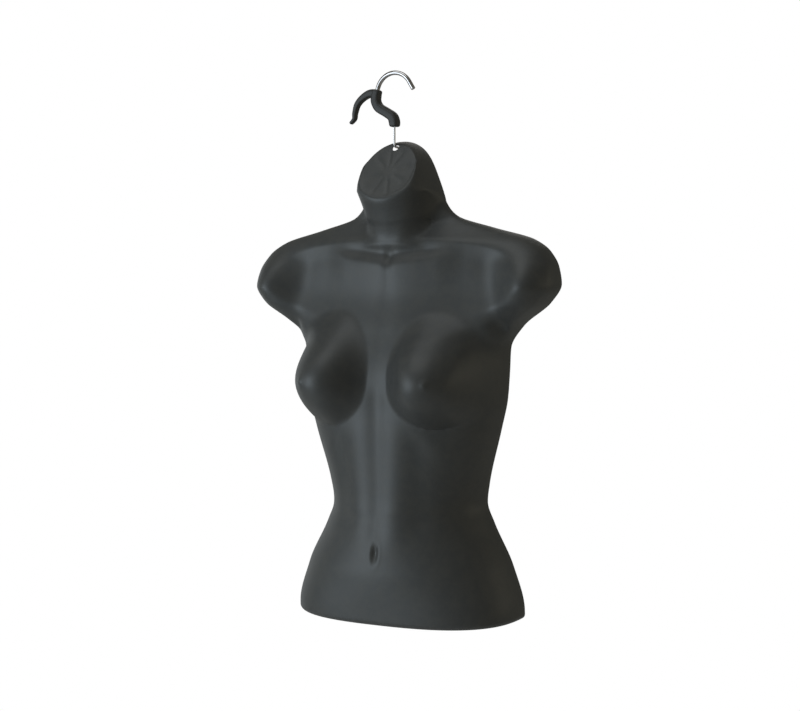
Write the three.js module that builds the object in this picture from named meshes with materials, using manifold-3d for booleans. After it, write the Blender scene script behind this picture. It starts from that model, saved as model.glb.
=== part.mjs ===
// A hollow-back hanging torso form and the swivel hook it hangs from, in millimetres, +Z up.
// X runs across the shoulders, the chest faces -Y and the open back faces +Y.
// The origin is the point under the chrome rod where the hook rests on a rail.
import * as THREE from 'three';
import { mergeVertices } from 'three/addons/utils/BufferGeometryUtils.js';
import Module from 'manifold-3d';

const wasm = await Module();
wasm.setup();

// Torso shell. Heights are measured up from the hem, depths forward from the flat back rim.
const wall = 2.5;
const hemRadius = 7; // rounding where the front turns under into the hem plate
const archBase = 551; // height where the neck outline becomes half an ellipse
const archWide = 60;
const archHigh = 76.8;
const archPinch = 0.1; // how much the half ellipse is drawn in halfway up
const halfWidths = [
  [0, 161.5], [12, 161.5], [70, 146.5], [126, 120], [152, 111], [177, 114.5], [252, 134.5],
  [290, 144], [327, 148], [357, 150.5], [386, 170], [416, 209], [440, 224], [461, 221],
  [482, 209], [497, 187], [512.5, 130], [528, 78], [541, 64.5], [archBase, archWide],
];
const frontDepths = [
  [0, 112], [60, 112], [110, 107], [167, 99], [257, 96], [320, 92], [382, 74], [432, 57],
  [478, 49], [500, 40], [515, 27], [530, 16], [560, 8], [620, 5],
];
const squareness = [[0, 2.7], [60, 2.4], [150, 2], [250, 2.3], [340, 2.4], [400, 2], [628, 2]];
const edgeRadii = [
  [0, 160], [126, 118], [152, 110], [252, 130], [327, 140], [357, 110], [390, 46], [432, 42],
  [480, 46], [510, 38], [536, 15], [560, 5], [628, 4],
];
const wallShares = [[0, 0], [345, 0], [392, 0.3], [440, 0.3], [500, 0.12], [540, 0]];
const wallRadius = 5; // an upright wall along the shoulders' rim takes that share of the depth
const slopeOver = 10; // the outline's slope is taken over this height
const bust = {
  x: 80, height: 318, inner: 66, outer: 86, below: 61, above: 90, rise: 49, inward: 0.12, fade: 35,
};
const bustPowers = { foot: 1.02, level: 0.06, top: 0.5, inner: 0.5, outer: 0.5 };
const nipple = { x: 93, height: 320, radius: 4.5, rise: 2.4, coneRadius: 26, coneRise: 4.5 };
const chestFall = { depth: 22, wide: 110, low: 385, high: 470, fade: 60 };
const arm = { x: 198, height: 438, wide: 40, high: 48, rise: 29 };
const armpit = { x: 156, height: 384, wide: 11, high: 12, depth: 15 };
const neckHalfWidths = [[440, 46], [500, 49], [530, 51], [552, 55], [576, 60.5], [640, 62]];
const neckSkirt = 0.91; // past this share of its half width the neck runs out on a straight slope
const neckDepths = [
  [445, 37], [479, 45], [500, 51], [520, 57.5], [538, 64], [556, 73], [576, 78], [628, 81],
];
const neckSquareness = [[545, 2], [575, 2.2]];
const neckBlend = 12;
const capBlend = 2.5;
const capFoot = { height: 552, depth: 70.5 }; // lowest point of the neck's sloping end face
const capSlope = 0.68; // depth lost for each millimetre of height
const hole = { height: 620, radius: 5 };

// How the shell hangs on its wire.
const pivot = { y: 7, z: -93.7 };
const pivotOnShell = { height: 620.2, depth: 20 };
const lean = THREE.MathUtils.degToRad(3.3); // the hem hangs a little back, under the wire

// Grid that covers the shell from rim to rim.
const columns = 48;
const hemRows = 3;
const filletRows = 3;
const bodyRows = 36;
const archRows = 8;

// Hook.
const gap = 0.3;
const rodRadius = 3;
const rodBend = 26; // centre line of the bend that goes over the rail
const rodStart = THREE.MathUtils.degToRad(165.7);
const rodEnd = THREE.MathUtils.degToRad(32);
const rodTail = 10; // length held inside the moulded body
const rodTip = 12;
const bodyBottom = -67.6;
const wireRadius = 1.45;
const head = { radius: 3, height: 2.4, top: -59.8, roundness: 0.8 };
const room = { radius: 3.5, below: 0.6, above: 0.8 }; // chamber the head turns in, open behind
const cutter = 10; // length of the tools that open the chamber
const overlap = 0.2;
const wireBend = 4.5;
const wireFlat = 3.5; // level stretch that carries the shell
const wireDrop = 8; // length turned down behind the neck's end face

const centre = new THREE.Vector3(0, 0, rodRadius - rodBend);

const blackPlastic = new THREE.MeshStandardMaterial({ color: 0x2a2b2c, roughness: 0.5 });
const hookPlastic = new THREE.MeshStandardMaterial({ color: 0x1c1c1d, roughness: 0.4 });
const chrome = new THREE.MeshStandardMaterial({ color: 0xd5d7da, roughness: 0.12, metalness: 1 });
const steel = new THREE.MeshStandardMaterial({ color: 0xb4b6b9, roughness: 0.25, metalness: 1 });

// Value at h on a smooth curve through [h, value] pairs. Slopes at the pairs are harmonic
// means of the chords beside them, so the curve never overshoots a pair.
function along(pairs, h) {
  const last = pairs.length - 1;
  if (h <= pairs[0][0]) return pairs[0][1];
  if (h >= pairs[last][0]) return pairs[last][1];
  const chord = (i) => (pairs[i + 1][1] - pairs[i][1]) / (pairs[i + 1][0] - pairs[i][0]);
  const slope = (i) => {
    if (i === 0 || i === last) return 0;
    const before = chord(i - 1);
    const after = chord(i);
    return before * after > 0 ? (2 * before * after) / (before + after) : 0;
  };
  const i = pairs.findIndex((pair) => pair[0] > h) - 1;
  const span = pairs[i + 1][0] - pairs[i][0];
  const t = (h - pairs[i][0]) / span;
  const ease = t * t * (3 - 2 * t);
  const swing = span * t * (1 - t) * (slope(i) * (1 - t) - slope(i + 1) * t);
  return pairs[i][1] * (1 - ease) + pairs[i + 1][1] * ease + swing;
}

// The greater of a and b, with their meeting rounded to the given radius.
function softMax(a, b, radius) {
  return (a + b + Math.hypot(a - b, radius)) / 2;
}

// 1 between low and high, easing to 0 over the fade on each side.
function within(value, low, high, fade) {
  const { smoothstep } = THREE.MathUtils;
  return smoothstep(value, low - fade, low) * (1 - smoothstep(value, high, high + fade));
}

// Change of the outline's half width for each millimetre of height, below the arch.
function outlineSlope(h) {
  return (along(halfWidths, h + slopeOver / 2) - along(halfWidths, h - slopeOver / 2)) / slopeOver;
}

// Half the width of the shell's outline at height h, drawn in by inset.
function halfWidth(h, inset) {
  if (h < archBase) return along(halfWidths, h) - inset * Math.hypot(1, outlineSlope(h));
  const rise = Math.min((h - archBase) / (archHigh - inset), 1);
  const pinch = 1 - archPinch * Math.sin(Math.PI * rise);
  return (archWide - inset) * Math.sqrt(1 - rise * rise) * pinch;
}

// Distance from a point on the rim plane in to the outline, by the outline's slope below the
// arch and by the ellipse's own gradient in the arch.
function fromOutline(x, h, inset) {
  if (h < archBase) {
    return (halfWidth(h, inset) - Math.abs(x)) / Math.hypot(1, outlineSlope(h));
  }
  const high = archHigh - inset;
  const up = h - archBase;
  const wide = (archWide - inset) * (1 - archPinch * Math.sin((Math.PI * up) / high));
  const reach = Math.hypot(x / wide, up / high);
  if (reach < 0.02) return wide;
  return ((1 - reach) * reach) / Math.hypot(x / wide ** 2, up / high ** 2);
}

// Share of the full depth reached, from 0 at the rim to 1: a quick quarter turn up the wall's
// share, and a slow turn over the edge's radius for the rest.
function rollOver(x, h, inset) {
  const away = Math.max(fromOutline(x, h, inset), 0);
  const part = Math.min(away / along(edgeRadii, h), 1);
  const quick = Math.min(away / wallRadius, 1);
  const power = along(squareness, h);
  const upright = along(wallShares, h);
  const slow = (1 - (1 - part) ** power) ** (1 / power);
  return upright * Math.sqrt(1 - (1 - quick) ** 2) + (1 - upright) * slow;
}

// Bell of height 1 that falls away over wide across and high up.
function hill(across, wide, up, high) {
  return Math.exp(-((across / wide) ** 2) - (up / high) ** 2);
}

// Height of the breasts above the ribs: a dome with a crisp foot and a long soft top.
function breast(x, h) {
  const up = h - bust.height;
  const side = Math.abs(x) - bust.x + bust.inward * Math.max(up, 0);
  const reach = up < 0 ? bust.below : bust.above;
  const wide = side < 0 ? bust.inner : bust.outer;
  const inside = 1 - (side / wide) ** 2 - (up / reach) ** 2;
  if (inside <= 0) return 0;
  const { smoothstep } = THREE.MathUtils;
  const power = bustPowers.foot + bustPowers.level * smoothstep(up, -45, 5)
    + bustPowers.top * smoothstep(up, 0, 70) + bustPowers.inner * smoothstep(-side, 5, 55)
    + bustPowers.outer * smoothstep(side, 10, 70);
  const away = Math.hypot(Math.abs(x) - nipple.x, h - nipple.height);
  const point = nipple.coneRise * hill(away, nipple.coneRadius, 0, 1)
    + nipple.rise * hill(away, nipple.radius, 0, 1);
  return bust.rise * inside ** power + point * smoothstep(inside, 0, 0.3);
}

// Front of the chest, which falls away sideways, with the rounded mass of each arm and the
// hollow of each armpit.
function chest(x, h) {
  const a = Math.abs(x);
  const fall = chestFall.depth * (1 - hill(a, chestFall.wide, 0, 1))
    * within(h, chestFall.low, chestFall.high, chestFall.fade);
  return along(frontDepths, h) - fall
    + arm.rise * hill(a - arm.x, arm.wide, h - arm.height, arm.high)
    - armpit.depth * hill(a - armpit.x, armpit.wide, h - armpit.height, armpit.high);
}

// Front of the neck: half an ellipse that runs out sideways along a straight slope.
function neckColumn(x, h) {
  const half = Math.min(along(neckHalfWidths, h), halfWidth(h, 0) + 2);
  const across = Math.abs(x) / half;
  const power = along(neckSquareness, h);
  const low = (1 - neckSkirt ** power) ** (1 / power);
  const rounded = across < neckSkirt
    ? (1 - across ** power) ** (1 / power)
    : low - (across - neckSkirt) * (neckSkirt / low) ** (power - 1);
  return along(neckDepths, h) * rounded;
}

// Depth of the shell in front of its rim: chest and neck, cut by the neck's end face, rolled
// over towards the outline, with the breasts on top.
function depth(x, h, inset) {
  const cap = capFoot.depth - (h - capFoot.height) * capSlope;
  const front = -softMax(-softMax(chest(x, h), neckColumn(x, h), neckBlend), -cap, capBlend);
  const { smoothstep } = THREE.MathUtils;
  const fade = smoothstep(fromOutline(x, h, inset), 0, bust.fade);
  return (front - inset) * rollOver(x, h, inset) + breast(x, h) * fade;
}

// Rows of the grid from hem to neck: height, share of the depth, and how far the ends draw in.
function gridRows(inset) {
  const radius = hemRadius - inset;
  const plateShare = 1 - radius / (frontDepths[0][1] - inset);
  const plate = Array.from({ length: hemRows }, (_, i) => (
    { h: inset, share: (plateShare * i) / hemRows, drawn: radius }));
  const fillet = Array.from({ length: filletRows }, (_, i) => {
    const turn = (i / filletRows) * (Math.PI / 2);
    const left = 1 - Math.sin(turn);
    const h = inset + radius * (1 - Math.cos(turn));
    return { h, share: 1 - (1 - plateShare) * left, drawn: radius * left };
  });
  const body = Array.from({ length: bodyRows }, (_, i) => {
    const t = i / bodyRows;
    const crowded = t + 0.05 * Math.sin(Math.PI * t); // rows crowd towards the shoulders
    return { h: hemRadius + (archBase - hemRadius) * crowded, share: 1, drawn: 0 };
  });
  const arch = Array.from({ length: archRows + 1 }, (_, i) => {
    const turn = (i / archRows) * (Math.PI / 2);
    return { h: archBase + (archHigh - inset) * Math.sin(turn), share: 1, drawn: 0 };
  });
  return [...plate, ...fillet, ...body, ...arch];
}

// One skin of the shell, row by row. Cosine steps crowd the columns towards the rim.
function skin(inset) {
  return gridRows(inset).flatMap(({ h, share, drawn }) => (
    Array.from({ length: columns + 1 }, (_, i) => {
      const across = -Math.cos((Math.PI * i) / columns);
      const full = halfWidth(h, inset);
      const onRim = i === 0 || i === columns;
      const forward = onRim ? 0 : share * depth(across * full, h, inset);
      return new THREE.Vector3(across * (full - drawn), -forward, h);
    })
  ));
}

// Closed geometry from points and triangles, with equal points merged and slivers dropped.
function closedGeometry(points, triangles) {
  const loose = new THREE.BufferGeometry().setFromPoints(points);
  loose.setIndex(triangles.flat());
  const merged = mergeVertices(loose, 1e-3);
  const index = merged.index.array;
  const kept = [];
  for (let i = 0; i < index.length; i += 3) {
    const [a, b, c] = index.slice(i, i + 3);
    if (a !== b && b !== c && c !== a) kept.push(a, b, c);
  }
  merged.setIndex(kept);
  return merged;
}

// Four-cornered patch as two triangles.
function patch(a, b, c, d) {
  return [[a, b, c], [a, c, d]];
}

// Outer and inner skins joined by the flat rim at the back.
function shellGeometry() {
  const outer = skin(0);
  const inner = skin(wall);
  const across = columns + 1;
  const rows = outer.length / across;
  const triangles = [];
  for (let row = 0; row < rows - 1; row += 1) {
    for (let i = 0; i < columns; i += 1) {
      const a = row * across + i;
      const b = a + outer.length;
      triangles.push(...patch(a, a + 1, a + 1 + across, a + across));
      triangles.push(...patch(b, b + across, b + 1 + across, b + 1));
    }
    const left = row * across;
    const right = left + columns;
    const [leftIn, rightIn] = [left + outer.length, right + outer.length];
    triangles.push(...patch(left, left + across, leftIn + across, leftIn));
    triangles.push(...patch(right, rightIn, rightIn + across, right + across));
  }
  for (let i = 0; i < columns; i += 1) {
    const a = i + outer.length;
    triangles.push(...patch(i, a, a + 1, i + 1));
  }
  return closedGeometry([...outer, ...inner], triangles);
}

function toManifold(geometry) {
  const bare = geometry.clone();
  bare.deleteAttribute('normal');
  bare.deleteAttribute('uv');
  const merged = mergeVertices(bare, 1e-4);
  return new wasm.Manifold(new wasm.Mesh({
    numProp: 3,
    vertProperties: new Float32Array(merged.attributes.position.array),
    triVerts: new Uint32Array(merged.index.array),
  }));
}

function fromManifold(solid) {
  const mesh = solid.getMesh();
  const geometry = new THREE.BufferGeometry();
  geometry.setAttribute('position', new THREE.BufferAttribute(mesh.vertProperties, 3));
  geometry.setIndex(new THREE.BufferAttribute(mesh.triVerts, 1));
  return geometry;
}

// Cylinder between two points.
function cylinderBetween(from, to, radius, sides) {
  const axis = to.clone().sub(from);
  const cylinder = new THREE.CylinderGeometry(radius, radius, axis.length(), sides);
  const turn = new THREE.Quaternion().setFromUnitVectors(
    new THREE.Vector3(0, 1, 0), axis.clone().normalize());
  return cylinder.applyQuaternion(turn).translate(...from.clone().add(to).divideScalar(2));
}

// The shell with its round hanging hole, drilled square to the neck's end face.
function torsoGeometry() {
  const depthAtHole = capFoot.depth - (hole.height - capFoot.height) * capSlope;
  const middle = new THREE.Vector3(0, -depthAtHole, hole.height);
  const outward = new THREE.Vector3(0, -1, capSlope).normalize();
  const drill = cylinderBetween(
    middle.clone().addScaledVector(outward, -6), middle.clone().addScaledVector(outward, 4),
    hole.radius, 20);
  const drilled = toManifold(shellGeometry()).subtract(toManifold(drill));
  return fromManifold(drilled).translate(0, pivotOnShell.depth, -pivotOnShell.height);
}

// Arc in the plane of the hook or of the wire's bends.
class PlaneArc extends THREE.Curve {
  constructor(middle, radius, from, to, right) {
    super();
    Object.assign(this, { middle, radius, from, to, right });
  }

  getPoint(t, target = new THREE.Vector3()) {
    const angle = this.from + (this.to - this.from) * t;
    return target.copy(this.middle)
      .addScaledVector(this.right, this.radius * Math.cos(angle))
      .add(new THREE.Vector3(0, 0, this.radius * Math.sin(angle)));
  }
}

// Round bar along a row of curves.
function bar(curves, radius, sides, steps) {
  const path = new THREE.CurvePath();
  curves.forEach((curve) => path.add(curve));
  const section = new THREE.Shape(new THREE.Path().absarc(0, 0, radius, 0, 2 * Math.PI)
    .getPoints(sides / 2).slice(0, sides)); // an arc gives two points for each division
  return new THREE.ExtrudeGeometry(section, { steps, extrudePath: path });
}

const alongX = new THREE.Vector3(1, 0, 0);
const alongY = new THREE.Vector3(0, 1, 0);

// Point and heading on the rod's bend, going over from the body to the tip.
function rodPoint(angle) {
  return centre.clone().add(new THREE.Vector3(Math.cos(angle), 0, Math.sin(angle))
    .multiplyScalar(rodBend));
}

function rodHeading(angle) {
  return new THREE.Vector3(Math.sin(angle), 0, -Math.cos(angle));
}

function rodTailEnd(length) {
  return rodPoint(rodStart).addScaledVector(rodHeading(rodStart), -length);
}

// Chrome rod: a straight tail in the body, the bend over the rail, and a straight tip.
function rodGeometry() {
  const tip = rodPoint(rodEnd).addScaledVector(rodHeading(rodEnd), rodTip);
  return bar([
    new THREE.LineCurve3(rodTailEnd(rodTail), rodPoint(rodStart)),
    new PlaneArc(centre, rodBend, rodStart, rodEnd, alongX),
    new THREE.LineCurve3(rodPoint(rodEnd), tip),
  ], rodRadius, 12, 30);
}

// Bar of changing rounded-square section along a flat curve in the hook's plane. Sizes are
// [share of the length, half the thickness in the plane, half the width across it].
function loft(points, sizes, steps) {
  const sides = 16;
  const curve = new THREE.CatmullRomCurve3(points.map(([x, z]) => new THREE.Vector3(x, 0, z)));
  const rings = Array.from({ length: steps + 1 }, (_, i) => {
    const t = i / steps;
    const middle = curve.getPointAt(t);
    const across = alongY.clone().cross(curve.getTangentAt(t));
    const thick = along(sizes.map(([share, value]) => [share, value]), t);
    const wide = along(sizes.map(([share, , value]) => [share, value]), t);
    return Array.from({ length: sides }, (__, k) => {
      const angle = (2 * Math.PI * (k + 0.5)) / sides;
      const rounded = (value) => Math.sign(value) * Math.abs(value) ** 0.6;
      return middle.clone()
        .addScaledVector(across, thick * rounded(Math.cos(angle)))
        .addScaledVector(alongY, wide * rounded(Math.sin(angle)));
    });
  });
  const middles = [curve.getPointAt(0), curve.getPointAt(1)];
  const [first, last] = [rings.length * sides, rings.length * sides + 1];
  const triangles = [];
  for (let k = 0; k < sides; k += 1) {
    const next = (k + 1) % sides;
    for (let i = 0; i < steps; i += 1) {
      const [a, b] = [i * sides + k, i * sides + next];
      triangles.push(...patch(a, b, b + sides, a + sides));
    }
    triangles.push([first, next, k]);
    triangles.push([last, steps * sides + k, steps * sides + next]);
  }
  return closedGeometry([...rings.flat(), ...middles], triangles);
}

// Moulded body: an S from the swivel up to the rod, and a thinning spur that drops to the side.
// A bore and a chamber open to the front take the wire and its head.
function bodyGeometry() {
  const stem = loft(
    [[0, bodyBottom], [0, -61], [-3, -54], [-13, -47.5], [-23, -41.5], [-27.8, -33], [-27.4, -25.5],
      [-25.4, -17.8]],
    [[0, 6.2, 6.6], [0.12, 6.7, 7], [0.4, 6.2, 7], [0.75, 6.2, 6.9], [1, 5.6, 6.6]], 24);
  const spur = loft(
    [[-24.5, -22.6], [-36, -22.2], [-47, -27], [-56, -35.5], [-60, -47], [-60.6, -53.5],
      [-63, -57], [-67, -60.5]],
    [[0, 5, 6], [0.15, 5.2, 5.8], [0.4, 4.4, 5.2], [0.8, 2.9, 4.4], [1, 2, 3.6]], 22);
  const socket = cylinderBetween(rodTailEnd(rodTail + gap), rodTailEnd(-2), rodRadius + gap, 16);
  const roomHigh = head.height + room.below + room.above;
  const roomBottom = head.top - head.height - room.below;
  const roomMiddle = roomBottom + roomHigh / 2;
  const boreMiddle = roomBottom + overlap - cutter / 2;
  const chamber = new THREE.CylinderGeometry(room.radius, room.radius, roomHigh, 20)
    .rotateX(Math.PI / 2).translate(0, 0, roomMiddle);
  const window = new THREE.BoxGeometry(2 * (room.radius - gap), cutter, roomHigh)
    .translate(0, cutter / 2, roomMiddle);
  const bore = new THREE.CylinderGeometry(wireRadius + gap, wireRadius + gap, cutter, 16)
    .rotateX(Math.PI / 2).translate(0, 0, boreMiddle);
  const slot = new THREE.BoxGeometry(2 * wireRadius - gap, cutter, cutter)
    .translate(0, cutter / 2, boreMiddle);
  const solid = [socket, chamber, window, bore, slot].reduce(
    (rest, cutter) => rest.subtract(toManifold(cutter)), toManifold(stem).add(toManifold(spur)));
  return fromManifold(solid);
}

// Wire: a head that turns in the body, a straight shank, and two bends that take it back
// through the hole in the neck and down behind it.
function wireGeometry() {
  const level = pivot.z;
  const flatEnd = wireBend + wireFlat;
  const shankTop = new THREE.Vector3(0, 0, head.top - 1);
  const bendTop = new THREE.Vector3(0, 0, level + wireBend);
  const dropTop = new THREE.Vector3(0, flatEnd + wireBend, level - wireBend);
  const wire = bar([
    new THREE.LineCurve3(shankTop, bendTop),
    new PlaneArc(new THREE.Vector3(0, wireBend, level + wireBend), wireBend,
      Math.PI, 1.5 * Math.PI, alongY),
    new THREE.LineCurve3(new THREE.Vector3(0, wireBend, level), new THREE.Vector3(0, flatEnd, level)),
    new PlaneArc(new THREE.Vector3(0, flatEnd, level - wireBend), wireBend,
      0.5 * Math.PI, 0, alongY),
    new THREE.LineCurve3(dropTop, dropTop.clone().setZ(dropTop.z - wireDrop)),
  ], wireRadius, 10, 40);
  const half = head.height / 2;
  const button = new THREE.LatheGeometry([
    new THREE.Vector2(0, -half), new THREE.Vector2(head.radius, -half),
    new THREE.Vector2(head.radius, half - head.roundness),
    new THREE.Vector2(head.radius - head.roundness, half),
    new THREE.Vector2(0, half),
  ], 16).rotateX(Math.PI / 2).translate(0, 0, head.top - half);
  return fromManifold(toManifold(wire).add(toManifold(button)));
}

function piece(name, geometry, material) {
  const mesh = new THREE.Mesh(geometry, material);
  mesh.name = name;
  return mesh;
}

const hook = new THREE.Group();
hook.add(piece('hook_rod', rodGeometry(), chrome));
hook.add(piece('hook_body', bodyGeometry(), hookPlastic));
hook.add(piece('swivel_wire', wireGeometry(), steel));

const torso = piece('torso_shell', torsoGeometry(), blackPlastic);
torso.rotation.x = lean;
torso.position.set(0, pivot.y, pivot.z);

const form = new THREE.Group();
form.add(hook, torso);

export default form;
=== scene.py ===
import math
import bmesh
import bpy
import numpy as np
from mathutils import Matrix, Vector


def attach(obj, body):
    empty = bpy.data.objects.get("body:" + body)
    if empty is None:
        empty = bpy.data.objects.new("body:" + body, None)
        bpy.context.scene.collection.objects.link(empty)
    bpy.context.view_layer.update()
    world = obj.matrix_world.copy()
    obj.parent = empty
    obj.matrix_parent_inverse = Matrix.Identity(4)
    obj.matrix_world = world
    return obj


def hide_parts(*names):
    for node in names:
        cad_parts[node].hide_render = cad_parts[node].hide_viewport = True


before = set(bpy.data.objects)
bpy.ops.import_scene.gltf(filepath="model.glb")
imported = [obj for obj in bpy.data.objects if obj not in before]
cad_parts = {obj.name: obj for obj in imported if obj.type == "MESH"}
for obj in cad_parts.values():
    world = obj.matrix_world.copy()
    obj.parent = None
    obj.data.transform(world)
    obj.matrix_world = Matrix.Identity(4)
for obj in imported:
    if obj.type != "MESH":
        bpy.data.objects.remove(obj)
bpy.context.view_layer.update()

# A hollow-back hanging torso form and the swivel hook that carries it.
# Shapes are worked out in millimetres, and put into the meshes in metres.
mm = 0.001
nearby = 1e-7  # metres within which the points of a small piece are one point


# value at h on a smooth curve through [h, value] pairs: cubic between two pairs, with each
# pair's slope the harmonic mean of the two chords that meet there
def along(pairs, h):
    at, value = np.array(pairs, float).T
    h = np.clip(np.asarray(h, float), at[0], at[-1])
    chord = np.diff(value) / np.diff(at)
    slope = np.zeros(len(at))
    before, after = chord[:-1], chord[1:]
    same = before * after > 0
    slope[1:-1][same] = (2 * before * after)[same] / (before + after)[same]
    i = np.clip(np.searchsorted(at, h, side="right") - 1, 0, len(at) - 2)
    span = at[i + 1] - at[i]
    t = (h - at[i]) / span
    ease = t * t * (3 - 2 * t)
    swing = span * t * (1 - t) * (slope[i] * (1 - t) - slope[i + 1] * t)
    return value[i] * (1 - ease) + value[i + 1] * ease + swing


# greater of a and b, rounded where they meet: (a + b + sqrt((a - b)^2 + radius^2)) / 2
def softMax(a, b, radius):
    return (a + b + np.sqrt((a - b) ** 2 + radius ** 2)) / 2


# 0 below low, 1 above high, and 3t^2 - 2t^3 between them
def smoothStep(value, low, high):
    t = np.clip((value - low) / (high - low), 0, 1)
    return t * t * (3 - 2 * t)


# 1 between low and high, easing to 0 over fade outside them
def window(value, low, high, fade):
    return smoothStep(value, low - fade, low) * (1 - smoothStep(value, high, high + fade))


# bell of height 1: exp(-(a / wide)^2 - (b / high)^2)
def hill(a, wide, b=0.0, high=1.0):
    return np.exp(-(a / wide) ** 2 - (b / high) ** 2)


# distance from (x, h) to the straight stretch between two points
def fromStretch(x, h, start, end):
    (x0, h0), (x1, h1) = start, end
    run, rise = x1 - x0, h1 - h0
    t = np.clip(((x - x0) * run + (h - h0) * rise) / (run * run + rise * rise), 0, 1)
    return np.hypot(x - x0 - t * run, h - h0 - t * rise)


# quads of a rows x columns grid of points, counted from first
def gridFaces(rows, columns, first=0, turned=False):
    corner = first + np.arange((rows - 1) * columns).reshape(rows - 1, columns)[:, :-1]
    ring = [corner, corner + 1, corner + 1 + columns, corner + columns]
    return np.stack(ring[::-1] if turned else ring, axis=-1).reshape(-1, 4)


# mesh object from points in millimetres and lists of corners
def newPiece(name, points, faces, material):
    mesh = bpy.data.meshes.new(name)
    mesh.from_pydata((np.asarray(points) * mm).tolist(), [], faces)
    mesh.validate()
    piece = bpy.data.objects.new(name, mesh)
    bpy.context.scene.collection.objects.link(piece)
    mesh.materials.append(material)
    return piece


# points within near metres merged, slivers dropped, and the signed volume made positive
def closeMesh(piece, near=1e-6):
    work = bmesh.new()
    work.from_mesh(piece.data)
    bmesh.ops.remove_doubles(work, verts=work.verts, dist=near)
    bmesh.ops.dissolve_degenerate(work, edges=work.edges, dist=near / 2)
    if work.calc_volume(signed=True) < 0:
        bmesh.ops.reverse_faces(work, faces=work.faces)
    work.to_mesh(piece.data)
    work.free()


# the piece as its modifiers leave it, kept as its own mesh
def applyModifiers(piece):
    bpy.context.view_layer.update()
    evaluated = piece.evaluated_get(bpy.context.evaluated_depsgraph_get())
    mesh = bpy.data.meshes.new_from_object(evaluated)
    piece.modifiers.clear()
    piece.data = mesh


# smooth shading, with a crease where two faces meet at more than sharpDegrees
def shadeSmooth(piece, sharpDegrees):
    piece.data.polygons.foreach_set("use_smooth", [True] * len(piece.data.polygons))
    piece.data.set_sharp_from_angle(angle=math.radians(sharpDegrees))


# one piece joined to or cut from another, the tool then thrown away
def combine(piece, tool, operation):
    step = piece.modifiers.new("combine", "BOOLEAN")
    step.operation = operation
    step.solver = "EXACT"
    step.object = tool
    applyModifiers(piece)
    bpy.data.objects.remove(tool)


# a number socket that takes part in Python sums by adding Math nodes
class Level:
    def __init__(self, recipe, socket):
        self.recipe, self.socket = recipe, socket

    def math(self, operation, first, second):
        node = self.recipe.add("ShaderNodeMath", dict(operation=operation), {0: first, 1: second})
        return Level(self.recipe, node.outputs[0])

    def __add__(self, other):
        return self.math("ADD", self, other)

    def __radd__(self, other):
        return self.math("ADD", other, self)

    def __sub__(self, other):
        return self.math("SUBTRACT", self, other)

    def __rsub__(self, other):
        return self.math("SUBTRACT", other, self)

    def __mul__(self, other):
        return self.math("MULTIPLY", self, other)

    def __rmul__(self, other):
        return self.math("MULTIPLY", other, self)

    def __abs__(self):
        return self.math("ABSOLUTE", self, 0)

    # 0 below low, 1 above high, eased between
    def step(self, low, high):
        settings = dict(interpolation_type="SMOOTHSTEP")
        node = self.recipe.add("ShaderNodeMapRange", settings, {0: self, 1: low, 2: high})
        return Level(self.recipe, node.outputs[0])


# the node tree of one material
class Recipe:
    def __init__(self, name):
        self.material = bpy.data.materials.new(name)
        self.material.use_nodes = True
        self.tree = self.material.node_tree
        self.shader = self.tree.nodes["Principled BSDF"]
        self.place = self.add("ShaderNodeTexCoord").outputs["Object"]

    # a level or a socket is linked, anything else becomes the socket's value
    def feed(self, socket, value):
        if isinstance(value, Level):
            value = value.socket
        if isinstance(value, bpy.types.NodeSocket):
            self.tree.links.new(value, socket)
        else:
            socket.default_value = value

    # a node with its settings and its inputs
    def add(self, kind, settings=None, inputs=None):
        node = self.tree.nodes.new(kind)
        for name, value in (settings or {}).items():
            setattr(node, name, value)
        for name, value in (inputs or {}).items():
            self.feed(node.inputs[name], value)
        return node

    # noise of about 0.5 with patches some cell millimetres wide
    def noise(self, cell, detail=2.0, rough=0.5, stretch=(1, 1, 1)):
        place = self.place
        if stretch != (1, 1, 1):
            place = self.add("ShaderNodeMapping", None, {"Vector": place, "Scale": stretch}).outputs[0]
        node = self.add("ShaderNodeTexNoise", None, {
            "Vector": place, "Scale": 1 / (cell * mm), "Detail": detail, "Roughness": rough})
        return Level(self, node.outputs[0])

    # a number stored at the points of the mesh
    def attribute(self, name):
        return Level(self, self.add("ShaderNodeAttribute", dict(attribute_name=name)).outputs["Fac"])

    # colour between first at 0 and second at 1
    def mix(self, factor, first, second):
        node = self.add("ShaderNodeMix", dict(data_type="RGBA"), {0: factor, 6: first, 7: second})
        return node.outputs[2]

    # height is in millimetres
    def bump(self, height, strength=1.0):
        node = self.add("ShaderNodeBump", None, {
            "Strength": strength, "Distance": mm, "Height": height})
        return node.outputs[0]

    # the shader's inputs, with _ for the blanks in their names
    def surface(self, **inputs):
        for name, value in inputs.items():
            self.feed(self.shader.inputs[name.replace("_", " ")], value)
        return self.material


# places in metres, the lens and the width of its frame in millimetres
view = dict(
    place=(1.150, -1.9919, -0.2696), aim=(0.0063, 0.0036, -0.3672), lens=78.66, frameWide=36,
    farthest=100)


# a camera at its place, turned so that it looks along aim minus place
def buildCamera():
    camera = bpy.data.objects.new("camera", bpy.data.cameras.new("camera"))
    bpy.context.scene.collection.objects.link(camera)
    camera.data.lens = view["lens"]
    camera.data.sensor_width = view["frameWide"]
    camera.data.clip_end = view["farthest"]
    camera.location = view["place"]
    look = Vector(view["aim"]) - camera.location
    camera.rotation_euler = look.to_track_quat("-Z", "Y").to_euler()
    bpy.context.scene.camera = camera


buildCamera()
print("camera placed")


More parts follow.
